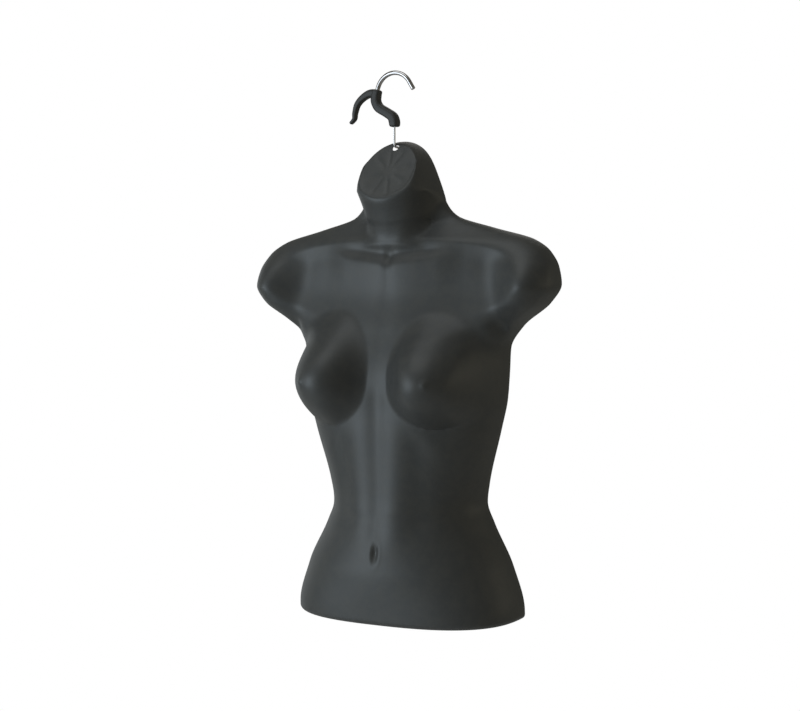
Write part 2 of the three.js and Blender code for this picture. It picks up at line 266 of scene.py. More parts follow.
# in each material, a Cell is the patch size of a noise in millimetres, a pair is where its
# patches start and where they are full, a Rough is added to the roughness, a High is a height
# in millimetres, and relief is the strength of all heights
shellLook = dict(
    cloudCell=90, mottleCell=14, peelCell=3.2, grainCell=0.55, wornCell=5, scuffCell=7,
    cloud=(0.45, 0.65), mottle=(0.35, 0.65), worn=(0.42, 0.68), scuff=(0.62, 0.8),
    scuffStretch=(1, 1, 0.25),
    dark=(0.034, 0.035, 0.035, 1), light=(0.040, 0.040, 0.038, 1), dust=(0.085, 0.083, 0.078, 1),
    scuffDust=0.25, wornDust=0.6, rough=0.44, cloudRough=0.07, mottleRough=0.06, scuffRough=0.12,
    grainHigh=0.05, peelHigh=0.04, relief=0.55, gloss=0.5)
hookLook = dict(
    cloudCell=9, grainCell=0.35, rubCell=2.2, cloud=(0.35, 0.65), rub=(0.55, 0.75),
    parting=(0.00008, 0.00028),  # metres from the middle: the mould's parting line runs down it
    dark=(0.016, 0.015, 0.014, 1), light=(0.022, 0.020, 0.018, 1), rubbed=(0.05, 0.045, 0.04, 1),
    rubShare=0.3, rough=0.48, cloudRough=0.1, rubRough=0.1, grainHigh=0.02, partingHigh=0.12,
    relief=0.6)
rodLook = dict(
    cloudCell=6, hairCell=0.4, cloud=(0.3, 0.7), hair=(0.55, 0.8), hairStretch=(0.15, 1, 0.15),
    light=(0.44, 0.42, 0.42, 1), dark=(0.35, 0.33, 0.33, 1), rough=0.09, cloudRough=0.08,
    hairRough=0.10, hairHigh=0.004, cloudHigh=0.01, relief=0.3)
wireLook = dict(
    drawnCell=0.3, spotCell=1.5, spot=(0.6, 0.75), drawnStretch=(1, 1, 0.08), spotShare=0.5,
    light=(0.62, 0.60, 0.60, 1), dark=(0.44, 0.42, 0.41, 1), rough=0.16, drawnRough=0.12,
    spotRough=0.15, drawnHigh=0.01, relief=0.4)


# black moulded plastic: two dark greys by the noise, lighter where it's scuffed or worn at an
# edge, with a fine grain
def shellPlastic():
    m, look = Recipe("shell plastic"), shellLook
    cloudy = m.noise(look["cloudCell"], 3)
    mottle = m.noise(look["mottleCell"], 4, 0.6)
    orangePeel = m.noise(look["peelCell"], 2)
    grain = m.noise(look["grainCell"], 3, 0.6)
    worn = m.attribute("edge") * m.noise(look["wornCell"], 4, 0.7).step(*look["worn"])
    scuff = m.noise(look["scuffCell"], 5, 0.75, look["scuffStretch"]).step(*look["scuff"])
    scuff = scuff * cloudy.step(*look["cloud"])
    plain = m.mix(mottle.step(*look["mottle"]), look["dark"], look["light"])
    dusty = m.mix(scuff * look["scuffDust"] + worn * look["wornDust"], plain, look["dust"])
    height = grain * look["grainHigh"] + orangePeel * look["peelHigh"]
    dull = look["rough"] + look["cloudRough"] * cloudy + look["mottleRough"] * mottle
    return m.surface(
        Base_Color=dusty, Roughness=dull + look["scuffRough"] * scuff,
        Specular_IOR_Level=look["gloss"], Normal=m.bump(height, look["relief"]))


# darker, duller plastic with rubbed patches and a raised parting line
def hookPlastic():
    m, look = Recipe("hook plastic"), hookLook
    cloudy = m.noise(look["cloudCell"], 3)
    grain = m.noise(look["grainCell"], 3, 0.6)
    rub = m.noise(look["rubCell"], 5, 0.7).step(*look["rub"])
    split = m.add("ShaderNodeSeparateXYZ", None, {0: m.place})
    across = Level(m, split.outputs[1])
    parting = 1 - abs(across).step(*look["parting"])
    plain = m.mix(cloudy.step(*look["cloud"]), look["dark"], look["light"])
    colour = m.mix(rub * look["rubShare"], plain, look["rubbed"])
    height = grain * look["grainHigh"] + parting * look["partingHigh"]
    return m.surface(
        Base_Color=colour, Roughness=look["rough"] + look["cloudRough"] * cloudy + look["rubRough"] * rub,
        Normal=m.bump(height, look["relief"]))


# bright plating with hairlines along the bar
def rodChrome():
    m, look = Recipe("rod chrome"), rodLook
    cloudy = m.noise(look["cloudCell"], 3)
    hair = m.noise(look["hairCell"], 4, 0.7, look["hairStretch"]).step(*look["hair"])
    tint = m.mix(cloudy.step(*look["cloud"]), look["light"], look["dark"])
    height = hair * look["hairHigh"] + cloudy * look["cloudHigh"]
    return m.surface(
        Base_Color=tint, Metallic=1.0,
        Roughness=look["rough"] + look["cloudRough"] * cloudy + look["hairRough"] * hair,
        Normal=m.bump(height, look["relief"]))


# drawn wire with duller spots
def wireSteel():
    m, look = Recipe("wire steel"), wireLook
    drawn = m.noise(look["drawnCell"], 4, 0.7, look["drawnStretch"])
    spots = m.noise(look["spotCell"], 3).step(*look["spot"])
    tint = m.mix(spots * look["spotShare"], look["light"], look["dark"])
    return m.surface(
        Base_Color=tint, Metallic=1.0,
        Roughness=look["rough"] + look["drawnRough"] * drawn + look["spotRough"] * spots,
        Normal=m.bump(drawn * look["drawnHigh"], look["relief"]))


shellSkin = shellPlastic()
hookSkin = hookPlastic()
rodSkin = rodChrome()
wireSkin = wireSteel()
print("materials made")


# heights are measured up from the hem, depths forward from the flat back rim
torso = dict(
    wall=2.5,
    hemRadius=7,
    nearby=2e-6, sharp=42,  # metres within which points are merged, degrees that make a crease
    archBase=551, archWide=60, archHigh=76.8,  # the neck's outline ends in half an ellipse,
    archPinch=0.1,  # drawn in a little halfway up
    halfWidths=[
        [0, 161.5], [12, 161.5], [70, 146.5], [126, 120], [152, 111], [177, 114.5], [252, 134.5],
        [290, 144], [327, 148], [357, 150.5], [386, 170], [416, 209], [440, 224], [461, 221], [482, 209],
        [497, 187], [512.5, 130], [528, 78], [541, 64.5], [551, 60]],
    frontDepths=[
        [0, 112], [60, 112], [110, 107], [167, 99], [257, 96], [320, 92], [382, 74], [432, 57],
        [478, 49], [500, 40], [515, 27], [530, 16], [560, 8], [620, 5]],
    slopeOver=10,  # the outline's slope is taken over this height
    # power of the roll-over at each height, and how far in from the rim it reaches
    squareness=[[0, 2.7], [60, 2.4], [150, 2], [250, 2.3], [340, 2.4], [400, 2], [628, 2]],
    edgeRadii=[
        [0, 160], [126, 118], [152, 110], [252, 130], [327, 140], [357, 110], [390, 46],
        [432, 42], [480, 46], [510, 38], [536, 15], [560, 5], [628, 4]],
    wallShares=[[0, 0], [345, 0], [392, 0.3], [440, 0.3], [500, 0.12], [540, 0]],
    wallRadius=5,  # along the shoulders that share of the depth is reached this far from the rim
    bust=dict(x=80, height=318, inner=66, outer=86, below=61, above=90, rise=49, inward=0.12, fade=35),
    bustPowers=dict(foot=1.02, level=0.06, top=0.5, inner=0.5, outer=0.5,
                    levelFrom=-45, levelTo=5, topTo=70, innerFrom=5, innerTo=55, outerFrom=10, outerTo=70),
    nipple=dict(x=93, height=320, radius=4.5, rise=2.4, coneRadius=26, coneRise=4.5, fade=0.3),
    neckHalfWidths=[[440, 46], [500, 49], [530, 51], [552, 55], [576, 60.5], [640, 62]],
    neckSkirt=0.91,  # beyond this share of its half width the neck runs out along a straight slope
    neckSpare=2,  # the neck's half width is at most this much more than the outline's
    neckDepths=[[445, 36], [479, 41.5], [500, 47.5], [520, 56], [538, 64], [556, 73], [576, 78], [628, 81]],
    neckSquareness=[[545, 2], [575, 2.2]],
    cap=dict(height=552, depth=70.5, slope=0.68, lip=1.9, lipFrom=4, lipWide=3.6,
             middle=588, rays=[15, 62, 100, 140, 196, 238, 285, 335],
             rayDeep=0.8, rayWide=1.6, rayFlare=0.06, rayFrom=14, rayTo=26, rayFade=9),
    hole=dict(height=620, radius=5, sides=48, drillIn=6, drillOut=5),
    worn=dict(rim=3.5, hem=4, hole=1.5, holeShare=0.8, holeStretch=1.19),  # how far wear reaches
    navel=dict(height=95, wide=4.0, high=9, deep=4.2, lip=0.4, lipAway=1.8, lipWide=0.7),
    bellyGroove=dict(rise=-1.7, x=0, wide=12, low=125, high=275, fade=40),
    bellyMuscle=dict(rise=1.4, x=28, wide=17, low=130, high=250, fade=50),
    flank=dict(rise=-1.8, x=58, wide=15, low=140, high=225, fade=40),
    belly=dict(rise=3.0, x=0, wide=62, height=62, high=46),
    lowestRib=dict(rise=1.2, start=(20, 300), end=(88, 222), wide=12),
    breastBone=dict(rise=-1.0, x=0, wide=13, low=300, high=420, fade=50),
    collarBone=dict(
        heights=[[8, 466], [30, 469], [60, 473], [90, 479], [118, 489], [140, 495]],
        rise=3.0, below=34, above=9, low=14, high=66, fade=40),
    collarGroove=dict(
        heights=[[8, 484], [40, 485], [90, 489], [120, 496]], rise=-3.4, wide=7, low=11, high=45, fade=40),
    throatPit=dict(rise=-6.0, x=0, wide=7, height=479, high=10),
    neckLedge=dict(rise=3.0, height=495, wide=5, low=0, high=22, fade=22),
    chestFall=dict(rise=-22, wide=110, low=385, high=470, fade=60),
    arm=dict(rise=29, x=198, wide=40, height=438, high=48),
    armGroove=dict(rise=-2.0, start=(136, 462), end=(150, 405), wide=16),
    armpit=dict(rise=-15.0, x=156, wide=11, height=384, high=12),
    tendon=dict(rise=1.2, start=(38, 560), end=(13, 485), wide=9, low=500, high=545, fade=30),
    neckBlend=12, capBlend=2.5,  # rounding between chest and neck, and at the end face
    pivot=(7, -93.7), pivotOnShell=(20, 620.2),  # one point of the wire, as (back, up) in the frame
    lean=3.3,  # and (depth, height) on the shell, and the shell's lean about it in degrees
    columns=280, hemRows=16, filletRows=10, bodyRows=168, archRows=56, heightSteps=2000,
    # how closely the rows lie at each height
    rowShare=[[8, 1], [240, 1], [256, 1.35], [300, 1], [440, 1], [466, 1.7], [502, 1.7], [526, 1.2],
              [551, 1.5]])


# sideways step of the outline per step of height, over slopeOver
def outlineSlope(h):
    half = torso["slopeOver"] / 2
    return (along(torso["halfWidths"], h + half) - along(torso["halfWidths"], h - half)) / (2 * half)


# outline drawn in square to itself by inset; an ellipse with shorter radii in the arch,
# times 1 - pinch sin(pi rise)
def halfWidth(h, inset):
    low = along(torso["halfWidths"], h) - inset * np.hypot(1, outlineSlope(h))
    rise = np.clip((h - torso["archBase"]) / (torso["archHigh"] - inset), 0, 1)
    high = (torso["archWide"] - inset) * np.sqrt(1 - rise ** 2)
    high *= 1 - torso["archPinch"] * np.sin(math.pi * rise)
    return np.where(h < torso["archBase"], low, high)


# distance in to the outline: (half width - |x|) / hypot(1, slope) below the arch, and
# (1 - r) r / gradient of r in it, where r = hypot(x / wide, up / high)
def fromOutline(x, h, inset):
    low = (halfWidth(h, inset) - np.abs(x)) / np.hypot(1, outlineSlope(h))
    high = torso["archHigh"] - inset
    up = np.maximum(h - torso["archBase"], 0)
    rise = np.clip(up / high, 0, 1)
    wide = (torso["archWide"] - inset) * (1 - torso["archPinch"] * np.sin(math.pi * rise))
    reach = np.hypot(x / wide, up / high)
    gradient = np.maximum(np.hypot(x / wide ** 2, up / high ** 2), 1e-9)
    inArch = np.where(reach > 0.02, (1 - reach) * reach / gradient, wide)  # no gradient at 0
    return np.where(h < torso["archBase"], low, inArch)


# share of the depth at a distance from the rim: a quick quarter turn up the wall's share, and
# (1 - (1 - distance / radius)^p)^(1 / p) for the rest
def rollOver(x, h, inset):
    away = fromOutline(x, h, inset)
    power, upright = along(torso["squareness"], h), along(torso["wallShares"], h)
    part = np.clip(away / along(torso["edgeRadii"], h), 0, 1)
    quick = np.clip(away / torso["wallRadius"], 0, 1)
    slow = (1 - (1 - part) ** power) ** (1 / power)
    return upright * np.sqrt(1 - (1 - quick) ** 2) + (1 - upright) * slow


# dome^power, where dome = 1 - (side / wide)^2 - (up / reach)^2 and the power grows from a
# crisp foot below to a soft top, inner edge and outer edge, and a low cone with the nipple on it
def breast(x, h):
    bust, powers, tip = torso["bust"], torso["bustPowers"], torso["nipple"]
    up = h - bust["height"]
    reach = np.where(up < 0, bust["below"], bust["above"])
    side = np.abs(x) - bust["x"] + bust["inward"] * np.maximum(up, 0)
    wide = np.where(side < 0, bust["inner"], bust["outer"])
    inside = np.clip(1 - (side / wide) ** 2 - (up / reach) ** 2, 0, 1)
    power = powers["foot"] + powers["level"] * smoothStep(up, powers["levelFrom"], powers["levelTo"])
    power = power + powers["top"] * smoothStep(up, 0, powers["topTo"])
    power = power + powers["inner"] * smoothStep(-side, powers["innerFrom"], powers["innerTo"])
    power = power + powers["outer"] * smoothStep(side, powers["outerFrom"], powers["outerTo"])
    away = np.hypot(np.abs(x) - tip["x"], h - tip["height"])
    point = tip["coneRise"] * hill(away, tip["coneRadius"]) + tip["rise"] * hill(away, tip["radius"])
    return bust["rise"] * inside ** power + point * smoothStep(inside, 0, tip["fade"])


# rise * bell across * window over the heights: a ridge at x to each side, or a groove
def upright(a, h, ridge):
    shown = window(h, ridge["low"], ridge["high"], ridge["fade"])
    return ridge["rise"] * hill(a - ridge["x"], ridge["wide"]) * shown


# rise * bell of the distance from (x, height)
def mound(a, h, ridge):
    return ridge["rise"] * hill(a - ridge["x"], ridge["wide"], h - ridge["height"], ridge["high"])


# rise * bell of the distance from a straight stretch
def slanting(a, h, ridge):
    return ridge["rise"] * hill(fromStretch(a, h, ridge["start"], ridge["end"]), ridge["wide"])


# the navel is a bell with a raised edge: -deep exp(-away^2) + lip bell(away - lipAway)
def bellyRelief(x, h):
    a = np.abs(x)
    navel = torso["navel"]
    away = np.hypot(x / navel["wide"], (h - navel["height"]) / navel["high"])
    relief = upright(a, h, torso["bellyGroove"]) + upright(a, h, torso["bellyMuscle"])
    relief += upright(a, h, torso["flank"]) + mound(a, h, torso["belly"])
    relief += slanting(a, h, torso["lowestRib"])
    relief += navel["lip"] * hill(away - navel["lipAway"], navel["lipWide"])
    return relief - navel["deep"] * np.exp(-away ** 2)


# breast bone, collar bones that are long below and steep above, the groove over them, the pit
# between them, and the ledge at the foot of the neck: each rise * bell * window
def chestRelief(x, h):
    a = np.abs(x)
    bone, groove, ledge = torso["collarBone"], torso["collarGroove"], torso["neckLedge"]
    fromBone = h - along(bone["heights"], a)
    reach = np.where(fromBone < 0, bone["below"], bone["above"])
    relief = upright(a, h, torso["breastBone"]) + mound(a, h, torso["throatPit"])
    relief += bone["rise"] * hill(fromBone, reach) * window(a, bone["low"], bone["high"], bone["fade"])
    relief += (groove["rise"] * hill(h - along(groove["heights"], a), groove["wide"])
               * window(a, groove["low"], groove["high"], groove["fade"]))
    relief += (ledge["rise"] * hill(h - ledge["height"], ledge["wide"])
               * window(a, ledge["low"], ledge["high"], ledge["fade"]))
    return relief


# the chest falls away sideways by rise * (1 - bell), with the rounded mass of the arm, the
# groove between arm and chest, and the armpit
def shoulderRelief(x, h):
    a = np.abs(x)
    fall = torso["chestFall"]
    relief = fall["rise"] * (1 - hill(a, fall["wide"])) * window(h, fall["low"], fall["high"], fall["fade"])
    relief += mound(a, h, torso["arm"]) + slanting(a, h, torso["armGroove"])
    return relief + mound(a, h, torso["armpit"])


# tendons of the neck that run down to the collar bones
def neckRelief(x, h):
    tendon = torso["tendon"]
    return slanting(np.abs(x), h, tendon) * window(h, tendon["low"], tendon["high"], tendon["fade"])


# end face of the neck: the plane depth - slope * rise, a lip where little is cut from the
# column, and creases that run out from the middle like spokes and widen on the way
def endFace(x, h, column):
    cap = torso["cap"]
    plane = cap["depth"] - (h - cap["height"]) * cap["slope"]
    up = h - cap["middle"]
    radius = np.hypot(x, up)
    shown = cap["rayDeep"] * window(radius, cap["rayFrom"], cap["rayTo"], cap["rayFade"])
    relief = cap["lip"] * hill(column - plane - cap["lipFrom"], cap["lipWide"])
    for degrees in cap["rays"]:
        turn = math.radians(degrees)
        off = x * math.sin(turn) - up * math.cos(turn)
        ahead = x * math.cos(turn) + up * math.sin(turn) > 0
        relief -= shown * ahead * hill(off, cap["rayWide"] + cap["rayFlare"] * radius)
    return plane + relief


# chest and neck column, whichever stands further forward, cut by the neck's sloping end
# face, times the share of the roll-over, with the breasts on top. The column is
# depth * (1 - across^power)^(1 / power) and runs out straight past its skirt.
def shellDepth(x, h, inset):
    half = np.minimum(along(torso["neckHalfWidths"], h), halfWidth(h, 0) + torso["neckSpare"])
    across = np.abs(x) / half
    chest = along(torso["frontDepths"], h) + bellyRelief(x, h) + chestRelief(x, h) + shoulderRelief(x, h)
    skirt, power = torso["neckSkirt"], along(torso["neckSquareness"], h)
    low = (1 - skirt ** power) ** (1 / power)
    rounded = np.where(across < skirt, (1 - np.minimum(across, skirt) ** power) ** (1 / power),
                      low - (across - skirt) * (skirt / low) ** (power - 1))
    column = along(torso["neckDepths"], h) * rounded + neckRelief(x, h)
    front = -softMax(-softMax(chest, column, torso["neckBlend"]), -endFace(x, h, column),
                      torso["capBlend"])
    return ((front - inset) * rollOver(x, h, inset)
            + breast(x, h) * smoothStep(fromOutline(x, h, inset), 0, torso["bust"]["fade"]))


# rows from hem to neck: height, share of the depth, and how far the ends draw in
def shellRows(inset, thin):
    radius = torso["hemRadius"] - inset
    plateShare = 1 - radius / (torso["frontDepths"][0][1] - inset)
    plate = np.arange(torso["hemRows"] // thin) / (torso["hemRows"] // thin)
    turn = np.arange(torso["filletRows"] // thin) / (torso["filletRows"] // thin) * math.pi / 2
    left = 1 - np.sin(turn)
    fine = np.linspace(torso["hemRadius"], torso["archBase"], torso["heightSteps"])
    share = np.concatenate([[0], np.cumsum(along(torso["rowShare"], fine[1:]))])
    body = np.interp(np.linspace(0, share[-1], torso["bodyRows"] // thin + 1)[:-1], share, fine)
    arch = np.sin(np.linspace(0, math.pi / 2, torso["archRows"] // thin + 1))
    heights = np.concatenate([
        np.full(len(plate), inset), inset + radius * (1 - np.cos(turn)), body,
        torso["archBase"] + (torso["archHigh"] - inset) * arch])
    shares = np.concatenate([plateShare * plate, 1 - (1 - plateShare) * left,
                             np.ones(len(body) + len(arch))])
    drawn = np.concatenate([np.full(len(plate), radius), radius * left,
                            np.zeros(len(body) + len(arch))])
    return heights, shares, drawn


# one skin: x = -cos(pi u) (half width - drawn), so columns crowd towards the rim
def shellGrid(inset, thin):
    heights, shares, drawn = shellRows(inset, thin)
    across = -np.cos(math.pi * np.linspace(0, 1, torso["columns"] // thin + 1))
    h = np.repeat(heights[:, None], len(across), 1)
    full = halfWidth(h, inset)
    depth = shares[:, None] * shellDepth(across * full, h, inset)
    depth[:, [0, -1]] = 0
    return np.stack([across * (full - drawn[:, None]), depth, h], axis=-1)


# body coordinates to the frame: turned back by the lean about the wire it hangs on
def hang(x, depth, h):
    y, z = torso["pivot"]
    depth0, height0 = torso["pivotOnShell"]
    turn = math.radians(torso["lean"])
    back, up = depth0 - depth, h - height0
    return np.stack([
        x + 0 * depth, y + back * math.cos(turn) - up * math.sin(turn),
        z + back * math.sin(turn) + up * math.cos(turn)], axis=-1)


# round hole through the neck's end face, square to it: outward is (1, slope) / hypot(1, slope)
def drillHole(piece):
    hole, cap = torso["hole"], torso["cap"]
    depth = cap["depth"] - (hole["height"] - cap["height"]) * cap["slope"]
    count = hole["sides"]
    angle = np.linspace(0, 2 * math.pi, count + 1)[:-1]
    flat = math.hypot(1, cap["slope"])
    outward = np.array([0, 1, cap["slope"]]) / flat
    upward = np.array([0, -cap["slope"], 1]) / flat
    ring = hole["radius"] * (np.cos(angle)[:, None] * np.array([1, 0, 0]) + np.sin(angle)[:, None] * upward)
    middle = np.array([0, depth, hole["height"]])
    points = np.concatenate([
        middle - hole["drillIn"] * outward + ring, middle + hole["drillOut"] * outward + ring])
    faces = [[i, (i + 1) % count, count + (i + 1) % count, count + i] for i in range(count)]
    faces += [list(range(count))[::-1], list(range(count, 2 * count))]
    drill = newPiece("drill", hang(*points.T), faces, shellSkin)
    closeMesh(drill)
    combine(piece, drill, "DIFFERENCE")


# float attribute for wear, exp(-distance / reach): 1 at the rim and the hem, less at the hole
def markEdges(piece):
    place = np.empty(len(piece.data.vertices) * 3)
    piece.data.vertices.foreach_get("co", place)
    x, y, z = place.reshape(-1, 3).T / mm
    turn = math.radians(torso["lean"])
    back = (y - torso["pivot"][0]) * math.cos(turn) + (z - torso["pivot"][1]) * math.sin(turn)
    up = (z - torso["pivot"][1]) * math.cos(turn) - (y - torso["pivot"][0]) * math.sin(turn)
    depth, h = torso["pivotOnShell"][0] - back, up + torso["pivotOnShell"][1]
    hole, worn = torso["hole"], torso["worn"]
    fromHole = np.hypot(x, (h - hole["height"]) * worn["holeStretch"]) - hole["radius"]
    edge = np.maximum.reduce([
        np.exp(-np.clip(depth, 0, None) / worn["rim"]), np.exp(-np.clip(h, 0, None) / worn["hem"]),
        worn["holeShare"] * np.exp(-np.abs(fromHole) / worn["hole"])])
    piece.data.attributes.new("edge", "FLOAT", "POINT").data.foreach_set("value", edge.astype(np.float32))


# outer skin, inner skin at half as many steps, the flat rim up both sides, and the strip that
# closes the hem
def buildShell():
    outer, inner = shellGrid(0, 1), shellGrid(torso["wall"], 2)
    rows, columns = outer.shape[:2]
    innerRows, innerColumns = inner.shape[:2]
    start = rows * columns
    points = np.concatenate([outer.reshape(-1, 3), inner.reshape(-1, 3)])
    faces = gridFaces(rows, columns).tolist() + gridFaces(innerRows, innerColumns, start, True).tolist()
    row = np.arange(innerRows - 1)
    for side in (0, 1):  # flat rim up each side: two outer steps to one inner step
        out = 2 * row * columns + side * (columns - 1)
        within = start + row * innerColumns + side * (innerColumns - 1)
        strip = [out, out + columns, out + 2 * columns, within + innerColumns, within]
        faces += np.stack(strip if side == 0 else strip[::-1], axis=-1).tolist()
    column = np.arange(innerColumns - 1)
    strip = [start + column, start + column + 1, 2 * column + 2, 2 * column + 1, 2 * column]
    faces += np.stack(strip, axis=-1).tolist()
    piece = newPiece("torso_form", hang(*points.T), faces, shellSkin)
    closeMesh(piece, torso["nearby"])
    drillHole(piece)
    shadeSmooth(piece, torso["sharp"])
    markEdges(piece)
    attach(piece, "torso")
    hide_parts("torso_shell")
    return piece


shell = buildShell()
print("torso shell:", len(shell.data.polygons), "faces")


hook = dict(
    gap=0.3, sharp=42, rodSharp=40,
    rodRadius=3, rodBend=26, rodStart=165.7, rodEnd=32, rodTail=10, rodTip=12,
    tailSteps=12, bendSteps=90, tipSteps=12, rodSides=40, rodRounding=0.5, roundingRings=5,
    socketPast=4,  # the socket is cut this far past the start of the bend
    stem=[(0, -67.6), (0, -61), (-3, -54), (-13, -47.5), (-23, -41.5), (-27.8, -33), (-27.4, -25.5),
          (-25.4, -17.8)],
    stemThick=[[0, 6.2], [0.12, 6.7], [0.4, 6.2], [0.75, 6.2], [1, 5.6]],
    stemWide=[[0, 6.6], [0.1, 7], [0.4, 7], [1, 6.6]],
    spur=[(-24.5, -22.6), (-36, -22.2), (-47, -27), (-56, -35.5), (-60, -47), (-60.6, -53.5),
          (-63, -57), (-67, -60.5)],
    spurThick=[[0, 5.0], [0.15, 5.2], [0.4, 4.4], [0.8, 2.9], [1, 2.0]],
    spurWide=[[0, 6], [0.4, 5.2], [0.8, 4.4], [1, 3.6]],
    corner=0.6,  # lower is squarer
    sides=48, stemRings=110, spurRings=100, stemRounding=2.6, spurRounding=1.1,
    voxel=0.42, smoothShare=0.5, smoothTimes=6,  # the two bars are melted together
    headBelow=0.6, headAbove=0.8, headAround=0.5, overlap=0.2,  # room about the wire's head
    windowLess=0.3, slotLess=0.15, openTo=10)  # both openings run out of the back
wire = dict(radius=1.45, top=-59.8, headRadius=3, headHigh=2.4, bend=4.5, flat=3.5, drop=8,
            rounding=0.4, roundingRings=5, headRounding=0.8, headChamfer=0.3, sharp=40,
            sides=32, headSides=40, domeSteps=6, shankSteps=30, bendSteps=24, levelSteps=8,
            dropSteps=12)


# smooth path through points: Catmull-Rom pieces, then even steps along its length
def smoothPath(points, count, finer=40):
    p = np.array(points, float)
    p = np.vstack([2 * p[0] - p[1], p, 2 * p[-1] - p[-2]])
    t = np.linspace(0, 1, finer, endpoint=False)[:, None]
    a, b, c, d = (p[i:len(p) - 3 + i][:, None] for i in range(4))
    curve = 0.5 * (2 * b + (c - a) * t + (2 * a - 5 * b + 4 * c - d) * t ** 2
                   + (3 * b - a - 3 * c + d) * t ** 3)
    curve = np.vstack([curve.reshape(-1, p.shape[1]), p[-2]])
    length = np.concatenate([[0], np.cumsum(np.linalg.norm(np.diff(curve, axis=0), axis=1))])
    even = np.linspace(0, length[-1], count)
    return np.stack([np.interp(even, length, axis) for axis in curve.T], axis=-1)


# rings of a bar along centres that lie in one plane, square to sideways. The section is
# |cos|^corner, |sin|^corner, and rounding draws the rings in at both ends like a circle.
def sweep(name, centres, sideways, thick, wide, corner, sides, rounding, material):
    heading = np.gradient(centres, axis=0)
    heading /= np.linalg.norm(heading, axis=1)[:, None]
    length = np.concatenate([[0], np.cumsum(np.linalg.norm(np.diff(centres, axis=0), axis=1))])
    fromEnd = np.minimum(length, length[-1] - length)
    drawn = np.clip(fromEnd / rounding, 0, 1)
    less = rounding * (1 - np.sqrt(1 - (1 - drawn) ** 2))  # how much the ring shrinks
    angle = 2 * math.pi * (np.arange(sides) + 0.5) / sides
    section = [np.sign(v) * np.abs(v) ** corner for v in (np.cos(angle), np.sin(angle))]
    across = np.cross(np.broadcast_to(sideways, heading.shape), heading)
    rings = (centres[:, None] + across[:, None] * ((thick - less)[:, None] * section[0])[..., None]
             + np.array(sideways) * ((wide - less)[:, None] * section[1])[..., None])
    count = len(centres)
    closed = np.concatenate([rings, rings[:, :1]], axis=1)
    faces = gridFaces(count, sides + 1).tolist()
    last = (count - 1) * (sides + 1)
    faces += [list(range(sides))[::-1], list(range(last, last + sides))]
    piece = newPiece(name, closed.reshape(-1, 3), faces, material)
    closeMesh(piece, nearby)
    return piece


# centres with extra rings crowded into the rounding at each end
def crowdEnds(centres, rounding, rings=6):
    length = np.concatenate([[0], np.cumsum(np.linalg.norm(np.diff(centres, axis=0), axis=1))])
    near = rounding * (1 - np.cos(np.linspace(0, math.pi / 2, rings)))
    spots = np.unique(np.concatenate([near, length[(length > rounding) & (length < length[-1] - rounding)],
                                      length[-1] - near]))
    return np.stack([np.interp(spots, length, axis) for axis in centres.T], axis=-1)


# part circle of the bend with the straight tail in the moulding and the straight tip
def rodPath():
    middle = np.array([0, 0, hook["rodRadius"] - hook["rodBend"]])
    turn = np.radians(np.linspace(hook["rodStart"], hook["rodEnd"], hook["bendSteps"]))
    bend = middle + hook["rodBend"] * np.stack([np.cos(turn), 0 * turn, np.sin(turn)], axis=-1)
    ahead = np.stack([np.sin(turn), 0 * turn, -np.cos(turn)], axis=-1)
    back = np.linspace(hook["rodTail"], 0, hook["tailSteps"], endpoint=False)
    tail = bend[0] - ahead[0] * back[:, None]
    tip = bend[-1] + ahead[-1] * np.linspace(0, hook["rodTip"], hook["tipSteps"] + 1)[1:, None]
    return np.concatenate([tail, bend, tip])


# chrome rod of one radius, its two ends rounded
def buildRod():
    rounding = hook["rodRounding"]
    centres = crowdEnds(rodPath(), rounding, hook["roundingRings"])
    even = np.full(len(centres), hook["rodRadius"])
    piece = sweep("hanger_rod", centres, (0, 1, 0), even, even, 1, hook["rodSides"], rounding, rodSkin)
    shadeSmooth(piece, hook["rodSharp"])
    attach(piece, "hook")
    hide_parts("hook_rod")


# moulded bar along a smooth path in the plane of the hook, its section varying with its length
def flatBar(name, points, thick, wide, count, rounding):
    path = smoothPath(points, count)
    centres = crowdEnds(np.stack([path[:, 0], 0 * path[:, 0], path[:, 1]], axis=-1), rounding)
    share = np.linspace(0, 1, len(centres))
    return sweep(name, centres, (0, 1, 0), along(thick, share), along(wide, share),
                 hook["corner"], hook["sides"], rounding, hookSkin)


# straight round tool for cutting, between two points in the plane of the hook
def cutter(start, end, radius):
    even = np.full(2, radius)
    centres, sharpEnds = np.linspace(start, end, 2), 1e-6
    return sweep("cutter", centres, (0, 1, 0), even, even, 1, hook["sides"], sharpEnds, hookSkin)


